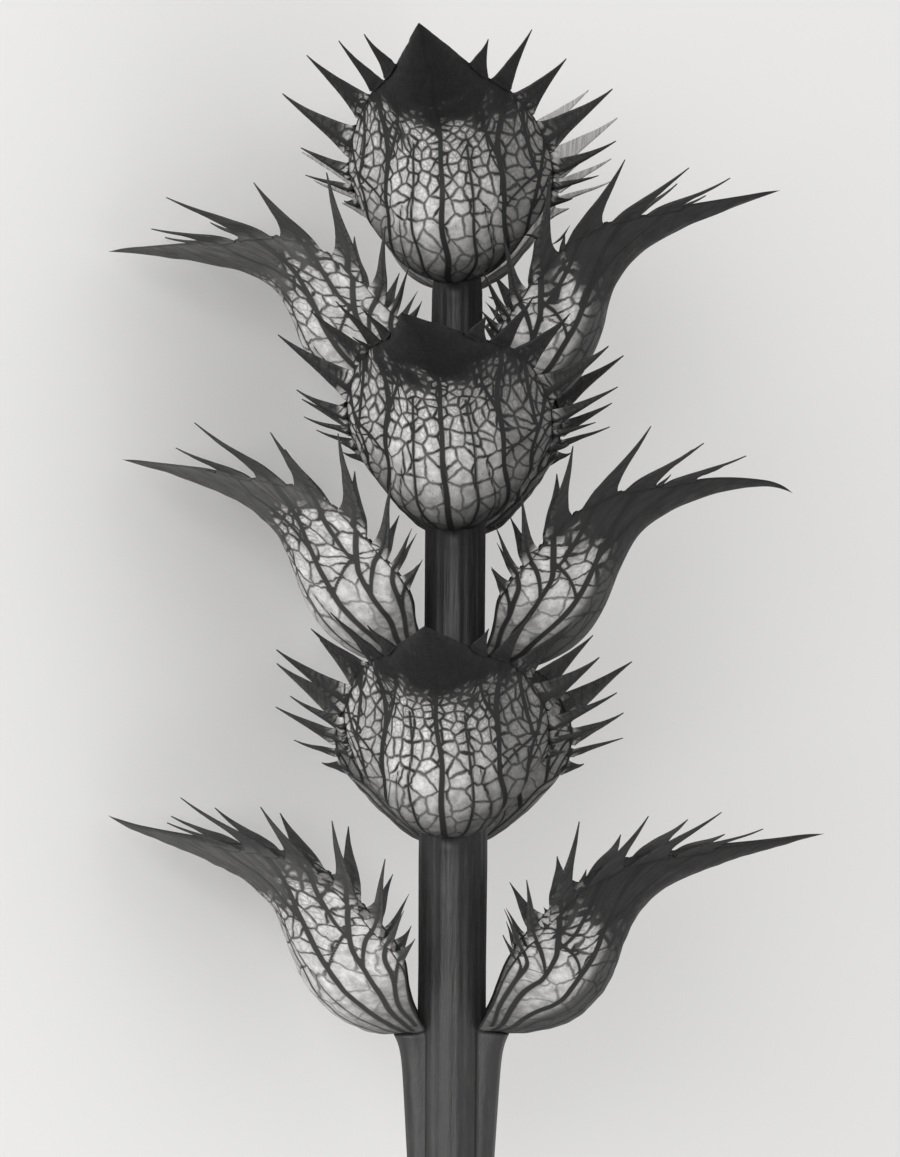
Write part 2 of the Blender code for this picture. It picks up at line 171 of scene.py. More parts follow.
# Main veins as (station, turn), with half widths in mm at both ends.
Vein = namedtuple("Vein", "path start end")
VEINS = (
    Vein(((0.0, 0.0), (0.3, 0.0), (0.6, 0.0), (1.0, 0.0)), 0.34, 0.12),
    Vein(((0.02, 0.10), (0.10, 0.17), (0.20, 0.21), (0.32, 0.22), (0.42, 0.21), (0.52, 0.24)), 0.17, 0.13),
    Vein(((0.02, 0.22), (0.09, 0.32), (0.18, 0.36), (0.27, 0.35), (0.36, 0.30)), 0.12, 0.08),
    Vein(((0.02, 0.36), (0.08, 0.46), (0.16, 0.50), (0.28, 0.50), (0.40, 0.50), (0.47, 0.54),
          (0.53, 0.66), (0.58, 0.85), (0.605, 1.0)), 0.25, 0.36),
    Vein(((0.45, 0.52), (0.54, 0.50), (0.62, 0.60), (0.67, 0.80), (0.695, 1.0)), 0.20, 0.12),
    Vein(((0.33, 0.50), (0.355, 0.58), (0.375, 0.68), (0.385, 0.80)), 0.16, 0.16),
    Vein(((0.02, 0.56), (0.08, 0.64), (0.16, 0.70), (0.26, 0.72), (0.35, 0.76), (0.40, 0.86),
          (0.440, 1.0)), 0.17, 0.34),
    Vein(((0.37, 0.78), (0.42, 0.76), (0.465, 0.80), (0.50, 0.90), (0.523, 1.0)), 0.15, 0.34),
    Vein(((0.27, 0.72), (0.31, 0.80), (0.345, 0.90), (0.362, 1.0)), 0.13, 0.34),
    Vein(((0.03, 0.74), (0.10, 0.82), (0.18, 0.86), (0.26, 0.90), (0.300, 1.0)), 0.11, 0.26),
    Vein(((0.17, 0.87), (0.21, 0.92), (0.242, 1.0)), 0.10, 0.20),
)


def smooth_value(x, knots, values):
    """Cubic interpolation with slopes from the neighbouring points."""
    x = np.clip(np.asarray(x, float), knots[0], knots[-1])
    knots = np.asarray(knots, float)
    values = np.asarray(values, float)
    slopes = np.gradient(values, knots)
    i = np.clip(np.searchsorted(knots, x) - 1, 0, len(knots) - 2)
    width = knots[i + 1] - knots[i]
    f = (x - knots[i]) / width
    start = (1 + 2 * f) * (1 - f) ** 2 * values[i] + f * (1 - f) ** 2 * width * slopes[i]
    end = f * f * (3 - 2 * f) * values[i + 1] + f * f * (f - 1) * width * slopes[i + 1]
    return start + end


def smoothstep(low, high, x):
    f = np.clip((x - low) / (high - low), 0, 1)
    return f * f * (3 - 2 * f)


def row_angle(bract):
    return math.radians(ROWS[bract.row] + bract.turn)


def stem_radius(height):
    return np.interp(height, STEM_HEIGHTS, STEM_RADII)


def rib_height(height, angle):
    """How far the ribs that run down from the bracts stand out of the stem."""
    height, angle = np.broadcast_arrays(np.asarray(height, float), np.asarray(angle, float))
    total = np.zeros(height.shape)
    for bract in BRACTS:
        below = bract.height - SHOULDER_DROP - height
        size = LOWEST_RIB if bract.height < LOWEST_PAIR else UPPER_RIB
        rise = np.clip((below + SHOULDER_LENGTH) / SHOULDER_LENGTH, 0, 1)
        fade = np.clip(1.0 - np.maximum(below, 0.0) / RIB_FADE, 0, 1)
        turn = angle - row_angle(bract)
        turn = np.arctan2(np.sin(turn), np.cos(turn))
        total += size * rise * fade * np.exp(-(turn / RIB_HALF_ANGLE) ** 2)
    return total


class Form:
    """A bract's surface: station runs from foot to apex, turn from one margin (-1) to the other (1)."""

    STEPS = 400

    def __init__(self, bract):
        half = self.STEPS // 2
        share = (np.arange(half) + 0.5) / half
        pouch = np.interp(share, POUCH_STATIONS, POUCH_HEADINGS)
        pouch = pouch + bract.steep * np.clip(share * STEEP_RAMP[0] - STEEP_RAMP[1], 0, 1)
        pouch = pouch - bract.floor * np.exp(-((share - FLOOR_PLACE[0]) / FLOOR_PLACE[1]) ** 2)
        blade = np.interp(share, BLADE_STATIONS, (pouch[-1], *bract.blade))
        middle = row_angle(bract)
        turns = middle + FOOT_HALF_ANGLE * np.array((-1.0, -0.75, -0.5, 0.0, 0.5, 0.75, 1.0))
        self.foot = float(stem_radius(bract.height) + rib_height(bract.height, turns).max() + GAP)
        pouch_out = self.foot + np.cumsum(np.cos(np.radians(pouch))) * POUCH_LENGTH / half
        blade_out = np.cumsum(np.cos(np.radians(blade)))
        blade_step = (bract.reach - pouch_out[-1]) / blade_out[-1]
        steps = np.array([POUCH_LENGTH / half] * half + [blade_step] * half)
        headings = np.radians(np.concatenate([pouch, blade]))
        self.bract = bract
        self.length = steps.sum()
        self.stations = np.linspace(0, 1, self.STEPS + 1)
        self.out = self.foot + np.concatenate([[0], np.cumsum(np.cos(headings) * steps)])
        self.up = np.concatenate([[0], np.cumsum(np.sin(headings) * steps)])
        centres = (self.stations[1:] + self.stations[:-1]) / 2
        self.headings = np.interp(self.stations, centres, headings)

    def frame_at(self, station):
        heading = np.interp(station, self.stations, self.headings)
        zero = np.zeros_like(heading)
        forward = np.stack([zero, np.sin(heading), np.cos(heading)], -1)
        inward = np.stack([zero, np.cos(heading), -np.sin(heading)], -1)
        return inward, forward

    def point(self, station, turn):
        station, turn = np.broadcast_arrays(np.asarray(station, float), np.asarray(turn, float))
        station = np.clip(station, 0, 1)
        inward, forward = self.frame_at(station)
        sideways, depth = section(turn, station)
        knots = MARGIN_STATIONS + (1.0,)
        across = smooth_value(station, knots,
                              (self.foot * math.sin(FOOT_HALF_ANGLE), *MARGIN_ACROSS[1:], 0.06))
        back = smooth_value(station, knots, (*MARGIN_INWARD, 0.0))
        ahead = smooth_value(station, knots,
                             (-self.foot * (1 - math.cos(FOOT_HALF_ANGLE)), *MARGIN_FORWARD[1:], 0.0))
        grown = self.bract.width ** np.minimum(1.0, station / WIDTH_GROWN)
        place = (inward * back[..., None] + forward * ahead[..., None]) * depth[..., None]
        place[..., 0] += across * grown * sideways + self.bract.sway * station ** 3
        place[..., 1] += np.interp(station, self.stations, self.up)
        place[..., 2] += np.interp(station, self.stations, self.out)
        return place


def section(turn, station):
    """How far out and how deep a section is at a turn, from a half oval to the keeled form and back."""
    a = np.abs(turn)
    oval = np.sin(a * math.pi / 2)
    sunk = 1 - np.cos(a * math.pi / 2)
    fade = 1 - smoothstep(*SECTION_ENDS, station)
    wide = smoothstep(*SECTION_WIDTH_STARTS, station) * fade
    deep = smoothstep(*SECTION_STARTS, station) * fade
    across = oval + (smooth_value(a, SECTION_TURNS, SECTION_ACROSS) - oval) * wide
    depth = sunk + (smooth_value(a, SECTION_TURNS, SECTION_DEPTH) - sunk) * deep
    return across * np.sign(turn), depth


def spine_way(bract, number, side, form, station):
    """The line from the middle of a spine's base to its point."""
    spine = SPINES[number]
    fan = FANS[bract.row]
    share = number / (len(SPINES) - 1)
    across, lift, out = (low + (high - low) * share for low, high in fan)
    inward, forward = form.frame_at(np.array(station))
    spread = bract.spread[0 if side < 0 else 1]
    length = math.hypot(spine.across, spine.inward, spine.forward)
    way = np.array([side * (spine.across + spread * length / 2), 0.0, 0.0])
    way = way + inward * spine.inward + forward * spine.forward * (1 - spread)
    way = way * length / np.linalg.norm(way) * np.array([across, lift, 1.0])
    way = way + np.array([0, 0, out * length])
    return way * (1 + SPINE_VARIETY * math.sin(SPINE_RHYTHM * number + side + bract.height))


# ---- Meshes ------------------------------------------------------------------------------------

def sheet_stations():
    """Rows from foot to apex, with the rows that each spine and each bay stands on."""
    stations = list(np.linspace(0, FIRST_SPINE, FOOT_ROWS + 1))
    majors = []
    bays = []
    last = FIRST_SPINE
    for spine in SPINES:
        stop = spine.end - BAY_HALF
        first = len(stations) - 1
        stations += list(np.linspace(last, stop, SPINE_ROWS + 1)[1:])
        majors.append((first, len(stations) - 1))
        first = len(stations) - 1
        last = spine.end + BAY_HALF
        stations += list(np.linspace(stop, last, GAP_ROWS * 2 + 1)[1:])
        bays.append((first, len(stations) - 1))
    rest = np.linspace(0, 1, TIP_ROWS + 1)[1:]
    stations += list(last + (1.0 - last) * (1 - (1 - rest) ** 1.15))
    return np.array(stations), majors, bays


def grid_faces(rows, columns, offset=0):
    a = offset + np.arange(rows - 1)[:, None] * columns + np.arange(columns - 1)[None, :]
    return np.stack([a, a + columns, a + columns + 1, a + 1], -1).reshape(-1, 4)


def vertex_normals(points, faces):
    corners = points[faces]
    normal = np.cross(corners[:, 2] - corners[:, 0], corners[:, 3] - corners[:, 1])
    total = np.zeros_like(points)
    for i in range(4):
        np.add.at(total, faces[:, i], normal)
    return total / np.maximum(np.linalg.norm(total, axis=1, keepdims=True), 1e-12)


def boundary_edges(faces):
    """Edges with one face, each in that face's own direction."""
    edges = np.concatenate([faces[:, [i, (i + 1) % 4]] for i in range(4)])
    keys = np.sort(edges, axis=1)
    keys = keys[:, 0] * (faces.max() + 1) + keys[:, 1]
    _, first, counts = np.unique(keys, return_index=True, return_counts=True)
    return edges[first[counts == 1]]


def polyline_distance(points, path, start, end):
    """Distance to a tapering line, less its half width there."""
    lengths = np.linalg.norm(np.diff(path, axis=0), axis=1)
    along = np.concatenate([[0], np.cumsum(lengths)]) / lengths.sum()
    best = np.full(len(points), FAR)
    for i, length in enumerate(lengths):
        step = path[i + 1] - path[i]
        f = np.clip(((points - path[i]) @ step) / length ** 2, 0, 1)
        away = np.linalg.norm(points - path[i] - f[:, None] * step, axis=1)
        half = start + (end - start) * (along[i] + f * (along[i + 1] - along[i]))
        best = np.minimum(best, away - half)
    return best


def rounded_path(path, stations, turns, flat, side):
    """A vein's knots as a smooth line in the flattened sheet, in mm."""
    knots = np.array(path)
    along = np.linspace(0, 1, len(knots))
    fine = np.linspace(0, 1, 8 * len(knots))
    row = np.interp(smooth_value(fine, along, knots[:, 0]), stations, np.arange(len(stations)))
    column = np.interp(side * smooth_value(fine, along, knots[:, 1]), turns, np.arange(len(turns)))
    i = np.minimum(row.astype(int), len(stations) - 2)
    j = np.minimum(column.astype(int), len(turns) - 2)
    f = (row - i)[:, None]
    g = (column - j)[:, None]
    return ((flat[i, j] * (1 - g) + flat[i, j + 1] * g) * (1 - f)
            + (flat[i + 1, j] * (1 - g) + flat[i + 1, j + 1] * g) * f)


def waves(points, seed, size, count=7):
    """Smooth seeded unevenness of unit height, with features of about the given size."""
    rng = np.random.default_rng(seed)
    total = np.zeros(len(points))
    for _ in range(count):
        way = rng.normal(size=points.shape[1])
        way *= rng.uniform(0.7, 1.5) / np.linalg.norm(way)
        total += np.sin(points @ way * math.tau / size + rng.uniform(0, math.tau))
    return total / math.sqrt(count)


class Sheet:
    """An open quad sheet under construction: points with their station, turn and flat place."""

    def __init__(self):
        self.points = []
        self.faces = []
        self.values = []
        self.count = 0

    def add(self, points, faces, values):
        self.points.append(points)
        self.faces.append(faces)
        self.values.append(values)
        self.count += len(points)


def bract_sheet(bract, form, seed):
    """The bract's middle surface with all its spines, as points, faces and per-point values."""
    rng = np.random.default_rng(seed)
    stations, majors, bays = sheet_stations()
    turns = np.linspace(-1, 1, ACROSS_CELLS + 1)
    skew = rng.uniform(-0.012, 0.012)
    s, t = np.meshgrid(stations, turns, indexing="ij")
    shifted = s + skew * t * np.sin(math.pi * s) * (1 - s)
    grid = form.point(shifted, t)
    steps = np.linalg.norm(np.diff(grid, axis=1), axis=2)
    middle = ACROSS_CELLS // 2
    girth = np.zeros(s.shape)
    girth[:, middle + 1:] = np.cumsum(steps[:, middle:], axis=1)
    girth[:, :middle] = -np.cumsum(steps[:, :middle][:, ::-1], axis=1)[:, ::-1]
    flat = np.stack([shifted * form.length, girth], -1)
    rib = np.full(s.size, FAR)
    places = flat.reshape(-1, 2)
    for vein in VEINS:
        for side in (-1, 1):
            path = rounded_path(vein.path, stations, turns, flat, side)
            stray = np.stack([waves(path, seed + 5, 9.0), waves(path, seed + 6, 9.0)], -1)
            path = path + stray * VEIN_WANDER
            rib = np.minimum(rib, polyline_distance(places, path, vein.start, vein.end))
    edge_gap = np.minimum(girth[:, -1:] - girth, girth - girth[:, :1]).ravel()
    sheet = Sheet()
    values = {"station": s.ravel(), "turn": t.ravel(), "flat": places, "ridge": rib,
              "rib": np.minimum(rib, edge_gap - MARGIN_LINE),
              "spine": np.zeros(s.size)}
    sheet.add(grid.reshape(-1, 3), grid_faces(len(stations), ACROSS_CELLS + 1), values)
    columns = ACROSS_CELLS + 1
    for side in (-1, 1):
        edge = 0 if side < 0 else ACROSS_CELLS
        for number, rows in enumerate(majors):
            middle_row = int(round((rows[0] + rows[1]) / 2))
            way = spine_way(bract, number, side, form, stations[middle_row])
            add_spine(sheet, grid, flat, stations, rows, edge, columns, way, side, rng, SPINE_BEND)
        for rows in bays:
            roll = rng.uniform()
            length = rng.uniform(*MINOR_LENGTH)
            if roll > MINOR_CHANCE:
                continue
            centre = stations[(rows[0] + rows[1]) // 2]
            nearest = int(np.argmin([abs(spine.end - centre) for spine in SPINES]))
            way = spine_way(bract, nearest, side, form, centre)
            way = way / np.linalg.norm(way) * length + rng.normal(size=3) * 0.25
            add_spine(sheet, grid, flat, stations, rows, edge, columns, way, side, rng, MINOR_BEND)
    points = np.concatenate(sheet.points)
    faces = np.concatenate(sheet.faces)
    values = {key: np.concatenate([v[key] for v in sheet.values]) for key in sheet.values[0]}
    return points, faces, values


def add_spine(sheet, grid, flat, stations, rows, edge, columns, way, side, rng, bend):
    """A concave-sided spine on the margin's rows, curving a little towards its point."""
    first, last = rows
    index = np.arange(first, last + 1)
    middle = (first + last) / 2
    base = grid[index, edge]
    centre = grid[int(round(middle)), edge]
    along = np.linspace(0, 1, SPINE_STEPS + 1)[1:] ** 1.3
    width = 0.45 * (1 - along ** 0.55) ** 1.2 + 0.55 * (1 - along) ** 1.25
    width = width * (1 - SPINE_POINT) + SPINE_POINT
    curl = np.array([0.0, 1.0, 0.25]) * bend * rng.uniform(-0.2, 1.0)
    lift = np.linalg.norm(way)
    onward = centre - grid[int(round(middle)), edge - side * FLOW_CELLS]
    onward = onward / np.linalg.norm(onward) * lift - way
    points = []
    for a, w in zip(along, width):
        core = centre + way * a + onward * FLOW * a * (1 - a) ** 3 + curl * (a * a - a) * a
        points.append(core + (base - centre) * w)
    points = np.array(points)
    steps = len(along)
    count = len(index)
    offset = sheet.count
    rings = np.concatenate([index[None, :] * columns + edge,
                            offset + np.arange(steps * count).reshape(steps, count)])
    faces = np.stack([rings[:-1, :-1], rings[1:, :-1], rings[1:, 1:], rings[:-1, 1:]], -1)
    faces = faces.reshape(-1, 4)
    if side < 0:
        faces = faces[:, ::-1]
    base_flat = flat[index, edge]
    out = np.array([0.25, side * 1.0]) * lift
    core_flat = flat[int(round(middle)), edge]
    places = core_flat + out * along[:, None, None] + (base_flat - core_flat)[None] * width[:, None, None]
    spread = np.abs(base_flat[:, 0] - core_flat[0])[None] * width[:, None]
    half = (0.20 * (1 - along) + 0.03)[:, None]
    size = points.shape[0] * points.shape[1]
    values = {"station": np.broadcast_to(stations[index][None], (steps, count)).ravel(),
              "turn": np.full(size, float(side)), "flat": places.reshape(-1, 2),
              "rib": (spread - half).ravel(), "ridge": (spread - half).ravel(),
              "spine": np.broadcast_to(along[:, None], (steps, count)).ravel()}
    sheet.add(points.reshape(-1, 3), faces, values)


def close_sheet(points, faces, values, seed):
    """Two faces and a rim from the middle surface, with the veins raised on the outer face."""
    normals = vertex_normals(points, faces)
    rib = values["ridge"]
    blade = smoothstep(*BLADE_STARTS, values["station"])
    tissue = MEMBRANE + (BLADE_TISSUE - MEMBRANE) * blade * (1 - values["spine"])
    tissue = tissue + (SPINE_TIP_TISSUE - tissue) * values["spine"] ** 0.7
    rolled_out = 1 - smoothstep(0.0, 0.25, values["spine"])
    margin = 1 - 0.45 * smoothstep(0.9, 1.0, np.abs(values["turn"])) * rolled_out
    taper = np.clip((1 - values["station"]) / APEX_TAPER, 0.06, 1)
    ridge = LATERAL_RIDGE * (1 - smoothstep(-0.18, 0.28, rib)) * (1 - 0.75 * blade)
    core = np.abs(values["flat"][:, 1]) < CORE_HALF
    ridge = np.where(core, ridge * MIDRIB_RIDGE / LATERAL_RIDGE, ridge) * (1 - values["spine"])
    uneven = waves(values["flat"], seed + 11, 6.0) * 0.05 + waves(values["flat"], seed + 12, 2.4) * 0.022
    base = points + normals * ((SHEET_OFFSET + uneven * (1 - values["spine"])) * taper)[:, None]
    outer = base + normals * ((tissue * margin + ridge) * taper)[:, None]
    inner = base
    count = len(points)
    rim = boundary_edges(faces)
    sides = np.stack([rim[:, 1], rim[:, 0], rim[:, 0] + count, rim[:, 1] + count], -1)
    all_faces = np.concatenate([faces, faces[:, ::-1] + count, sides])
    both = {key: np.concatenate([value, value]) for key, value in values.items()}
    both["outer"] = np.concatenate([np.ones(count), np.zeros(count)])
    return np.concatenate([outer, inner]), all_faces, both


def make_mesh(name, points, faces, attributes):
    mesh = bpy.data.meshes.new(name)
    mesh.vertices.add(len(points))
    mesh.vertices.foreach_set("co", np.ascontiguousarray(points, np.float32).ravel())
    sizes = np.full(len(faces), faces.shape[1], np.int32)
    mesh.loops.add(int(sizes.sum()))
    mesh.loops.foreach_set("vertex_index", np.ascontiguousarray(faces, np.int32).ravel())
    mesh.polygons.add(len(faces))
    mesh.polygons.foreach_set("loop_start", np.arange(len(faces), dtype=np.int32) * faces.shape[1])
    mesh.update(calc_edges=True)
    mesh.validate()
    for key, value in attributes.items():
        kind = "FLOAT_VECTOR" if value.ndim == 2 else "FLOAT"
        field = "vector" if value.ndim == 2 else "value"
        layer = mesh.attributes.new(key, kind, "POINT")
        layer.data.foreach_set(field, np.ascontiguousarray(value, np.float32).ravel())
    mesh.shade_smooth()
    return mesh


NET_SHIFT = (31.7, 53.3)      # cells between one bract's part of the net and the next one's
NET_STATIONS = (0.0, 0.18, 0.36, 0.46, 0.56, 1.0)
# Net cells per mm at those stations, along and then across the bract.
NETS = {
    "front": ((0.16, 0.27, 0.50, 0.80, 1.15, 1.2), (0.50, 0.42, 0.62, 0.90, 1.05, 1.1)),
    "left": ((0.18, 0.24, 0.34, 0.60, 1.00, 1.1), (0.34, 0.30, 0.36, 0.60, 0.95, 1.1)),
    "right": ((0.18, 0.24, 0.38, 0.68, 1.05, 1.1), (0.36, 0.32, 0.42, 0.68, 0.95, 1.1)),
    "rear": ((0.12, 0.18, 0.36, 0.60, 0.95, 1.1), (0.36, 0.30, 0.44, 0.66, 0.95, 1.1)),
}


def net_vectors(values, bract, seed):
    """Net coordinates in cells, the sheet's own flat place in mm, and the cells per mm."""
    along, across = NETS[bract.row]
    place = values["flat"]
    length = place[:, 0].max()
    fine = np.linspace(0, 1, 200)
    rate = np.interp(fine, NET_STATIONS, along)
    travel = np.concatenate([[0], np.cumsum((rate[1:] + rate[:-1]) / 2)]) * length / (len(fine) - 1)
    station = np.clip(place[:, 0] / length, 0, 1)
    across_rate = np.interp(station, NET_STATIONS, across)
    mean_rate = np.sqrt(np.interp(station, NET_STATIONS, along) * across_rate)
    net = np.stack([np.interp(station, fine, travel) + seed * NET_SHIFT[0],
                    place[:, 1] * across_rate + seed * NET_SHIFT[1], np.zeros(len(place))], -1)
    raw = np.stack([place[:, 0], place[:, 1], np.full(len(place), seed * 3.1)], -1)
    return net, raw, mean_rate


def local_to_frame(angle, height, axis):
    """From a bract's own millimetres to the frame's metres."""
    turn = Matrix.Rotation(angle, 4, "Y")
    return Matrix.Translation(axis) @ Matrix.Translation((0, height * MM, 0)) @ turn @ Matrix.Scale(MM, 4)


def placed(points, matrix):
    m = np.array(matrix)
    return points @ m[:3, :3].T + m[:3, 3]


def find_axis():
    """The stem's axis at its cut end, from the middle of the stem's box."""
    low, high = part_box("stem")
    sides = math.tau * np.arange(32) / 32
    heights = np.linspace(0, STEM_TOP, 400)
    radius = stem_radius(heights)[:, None] + rib_height(heights[:, None], sides[None, :])
    x = (radius * np.sin(sides)).ravel() * MM
    z = (radius * np.cos(sides)).ravel() * MM
    middle_x = (low[0] + high[0]) / 2 - (x.min() + x.max()) / 2
    middle_z = (low[2] + high[2]) / 2 - (z.min() + z.max()) / 2
    return Vector((middle_x, low[1], middle_z))


def show(name, mesh, material, nodes):
    piece = bpy.data.objects.new(name, mesh)
    bpy.context.scene.collection.objects.link(piece)
    mesh.materials.append(material)
    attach(piece, "root")
    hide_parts(*nodes)
    return piece


# ---- Materials ---------------------------------------------------------------------------------

class Nodes:
    """A small helper that adds shader nodes and links them."""

    def __init__(self, name):
        self.material = bpy.data.materials.new(name)
        self.material.use_nodes = True
        self.tree = self.material.node_tree
        self.shader = self.tree.nodes["Principled BSDF"]

    def add(self, kind, inputs=None, **settings):
        node = self.tree.nodes.new(kind)
        for key, value in settings.items():
            setattr(node, key, value)
        for key, value in (inputs or {}).items():
            self.put(node.inputs[key], value)
        return node

    def put(self, socket, value):
        if isinstance(value, bpy.types.NodeSocket):
            self.tree.links.new(value, socket)
        else:
            socket.default_value = value

    def attribute(self, name, output="Fac"):
        return self.add("ShaderNodeAttribute", attribute_name=name).outputs[output]

    def math(self, operation, *values, clamp=False):
        node = self.add("ShaderNodeMath", operation=operation, use_clamp=clamp)
        for socket, value in zip(node.inputs, values):
            self.put(socket, value)
        return node.outputs[0]

    def ramp(self, value, low, high, start=0.0, end=1.0, smooth=True):
        kind = "SMOOTHSTEP" if smooth else "LINEAR"
        node = self.add("ShaderNodeMapRange", interpolation_type=kind, clamp=True)
        for key, part in (("Value", value), ("From Min", low), ("From Max", high),
                          ("To Min", start), ("To Max", end)):
            self.put(node.inputs[key], part)
        return node.outputs["Result"]

    def noise(self, vector, scale, detail=3.0, roughness=0.55, output="Fac"):
        node = self.add("ShaderNodeTexNoise", {"Vector": vector, "Scale": scale, "Detail": detail,
                                               "Roughness": roughness})
        return node.outputs[output]

    def cells(self, vector, scale, randomness=1.0, feature="DISTANCE_TO_EDGE"):
        return self.add("ShaderNodeTexVoronoi", {"Vector": vector, "Scale": scale,
                                                 "Randomness": randomness},
                        voronoi_dimensions="2D", feature=feature)

    def mix(self, factor, first, second, blend="MIX"):
        node = self.add("ShaderNodeMix", data_type="RGBA", blend_type=blend, clamp_factor=True)
        for socket, value in ((node.inputs[0], factor), (node.inputs[6], first), (node.inputs[7], second)):
            self.put(socket, value)
        return node.outputs[2]

    def vector(self, operation, *values):
        node = self.add("ShaderNodeVectorMath", operation=operation)
        for socket, value in zip(node.inputs, values):
            self.put(socket, value)
        return node.outputs[0]


def grey(level, warmth=0.012):
    """A warm grey as linear colour, from a display level of 0 to 1."""
    linear = ((level + 0.055) / 1.055) ** 2.4 if level > 0.04045 else level / 12.92
    return (linear * (1 + warmth), linear, linear * (1 - 1.6 * warmth), 1.0)


# Grey levels of the membrane, veins and blade; the net's strength at the foot and its width; the
# stations where the dark cap starts and is full; how fully it covers, and how deep the painted shade is.
Tissue = namedtuple("Tissue", "membrane vein blade faint wide start full cap shadow")
FINE_NET = 2.2                # how much finer the small veins' cells are than the net's


def bract_material(name, tissue):
    """Thin membrane between dark veins that close up into a solid dark blade."""
    n = Nodes(name)
    raw = n.attribute("raw", "Vector")
    net = n.attribute("net", "Vector")
    rib = n.attribute("rib")
    station = n.attribute("station")
    spine = n.attribute("spine")
    solid = n.attribute("solid")
    shade = n.math("MULTIPLY", n.attribute("shade"), 1.0, clamp=True)   # kept between 0 and 1
    centre = (0.5, 0.5, 0.5)
    wander = n.vector("SUBTRACT", n.noise(raw, 0.42, 2.0, output="Color"), centre)
    wobble = n.vector("SUBTRACT", n.noise(raw, 1.9, 2.0, output="Color"), centre)
    warped = n.vector("ADD", net, n.vector("MULTIPLY", wander, (0.55, 0.55, 0.0)))
    warped = n.vector("ADD", warped, n.vector("MULTIPLY", wobble, (0.14, 0.14, 0.0)))
    net_rate = n.attribute("net_rate")
    uneven = n.ramp(n.noise(raw, 0.9, 2.0), 0.3, 0.7, 0.4, 1.7)
    wide = n.math("MULTIPLY", n.ramp(solid, 0.0, 0.8, 0.05 * tissue.wide, 0.34), uneven)
    cell = n.math("DIVIDE", n.cells(warped, 1.0, 0.9).outputs["Distance"], net_rate)
    line = n.ramp(n.math("SUBTRACT", wide, cell), -0.22, 0.06)
    small = n.cells(n.vector("ADD", warped, (3.7, 9.1, 0.0)), FINE_NET).outputs["Distance"]
    small = n.math("DIVIDE", small, n.math("MULTIPLY", net_rate, FINE_NET))
    thin = n.math("MULTIPLY", n.ramp(solid, 0.0, 0.8, 0.02, 0.14), uneven)
    fine = n.ramp(n.math("SUBTRACT", thin, small), -0.10, 0.03)
    fine = n.math("MULTIPLY", fine, n.ramp(station, 0.28, 0.56, 0.05, 0.60))
    main = n.ramp(rib, 0.14, -0.09)
    halo = n.ramp(rib, 0.8, 0.0, 0.0, 0.22)
    strength = n.ramp(station, 0.14, 0.46, tissue.faint, 0.95)
    veins = n.math("MAXIMUM", n.math("MULTIPLY", line, strength), fine)
    veins = n.math("MAXIMUM", veins, n.math("MULTIPLY", main, 0.95))
    veins = n.math("ADD", veins, halo, clamp=True)
    mottle = n.noise(raw, 0.9, 5.0, 0.62)
    grain = n.noise(raw, 6.0, 4.0, 0.65)
    low = tissue.membrane
    pale = n.mix(n.ramp(mottle, 0.3, 0.7), grey(low * 0.86), grey(min(low * 1.08, 0.97)))
    pale = n.mix(n.ramp(grain, 0.50, 0.80, 0.0, 0.55), pale, grey(low * 0.55))
    foot = n.ramp(n.math("ADD", station, n.math("MULTIPLY", mottle, 0.10)), 0.36, 0.05, 0.0, 0.85)
    pale = n.mix(foot, pale, grey(tissue.vein * 1.5))
    spots = n.cells(raw, 1.3, feature="F1")
    speck = n.math("MULTIPLY", n.ramp(spots.outputs["Distance"], 0.13, 0.05),
                   n.ramp(n.noise(raw, 0.8, 2.0), 0.58, 0.64))
    pale = n.mix(n.math("MULTIPLY", speck, 0.7), pale, grey(tissue.vein))
    # painted shade: the shade attribute darkens the membrane, as deep as the tissue's shadow
    pale = n.mix(n.math("MULTIPLY", shade, tissue.shadow), pale, grey(tissue.vein * 1.35))
    colour = n.mix(veins, pale, grey(tissue.vein))
    streak = n.noise(n.vector("MULTIPLY", raw, (0.22, 2.4, 1.0)), 1.6, 4.0, 0.6)
    blade = n.mix(n.ramp(streak, 0.3, 0.7), grey(tissue.blade * 0.86), grey(tissue.blade * 1.14))
    blade = n.mix(n.math("MULTIPLY", main, 0.6), blade, grey(tissue.blade * 0.6))
    spread = n.math("ADD", solid, n.math("MULTIPLY", n.math("SUBTRACT", mottle, 0.5), 0.3))
    cover = n.ramp(spread, 0.08, 0.86, 0.0, tissue.cap)
    colour = n.mix(cover, colour, blade)
    dark_spine = n.mix(n.ramp(streak, 0.3, 0.7), grey(tissue.vein * 0.9), grey(tissue.vein * 1.25))
    colour = n.mix(n.ramp(spine, 0.0, 0.22, 0.0, 0.95), colour, dark_spine)
    n.put(n.shader.inputs["Base Color"], colour)
    n.put(n.shader.inputs["Roughness"], n.ramp(mottle, 0.3, 0.7, 0.55, 0.75))
    n.shader.inputs["Specular IOR Level"].default_value = 0.25
    height = n.math("ADD", n.math("MULTIPLY", veins, 0.7), n.math("MULTIPLY", grain, 0.25))
    height = n.math("ADD", height, n.math("MULTIPLY", streak, n.math("MULTIPLY", cover, 0.5)))
    bump = n.add("ShaderNodeBump", {"Strength": 0.5, "Distance": 0.00016, "Height": height})
    n.put(n.shader.inputs["Normal"], bump.outputs["Normal"])
    return n.material


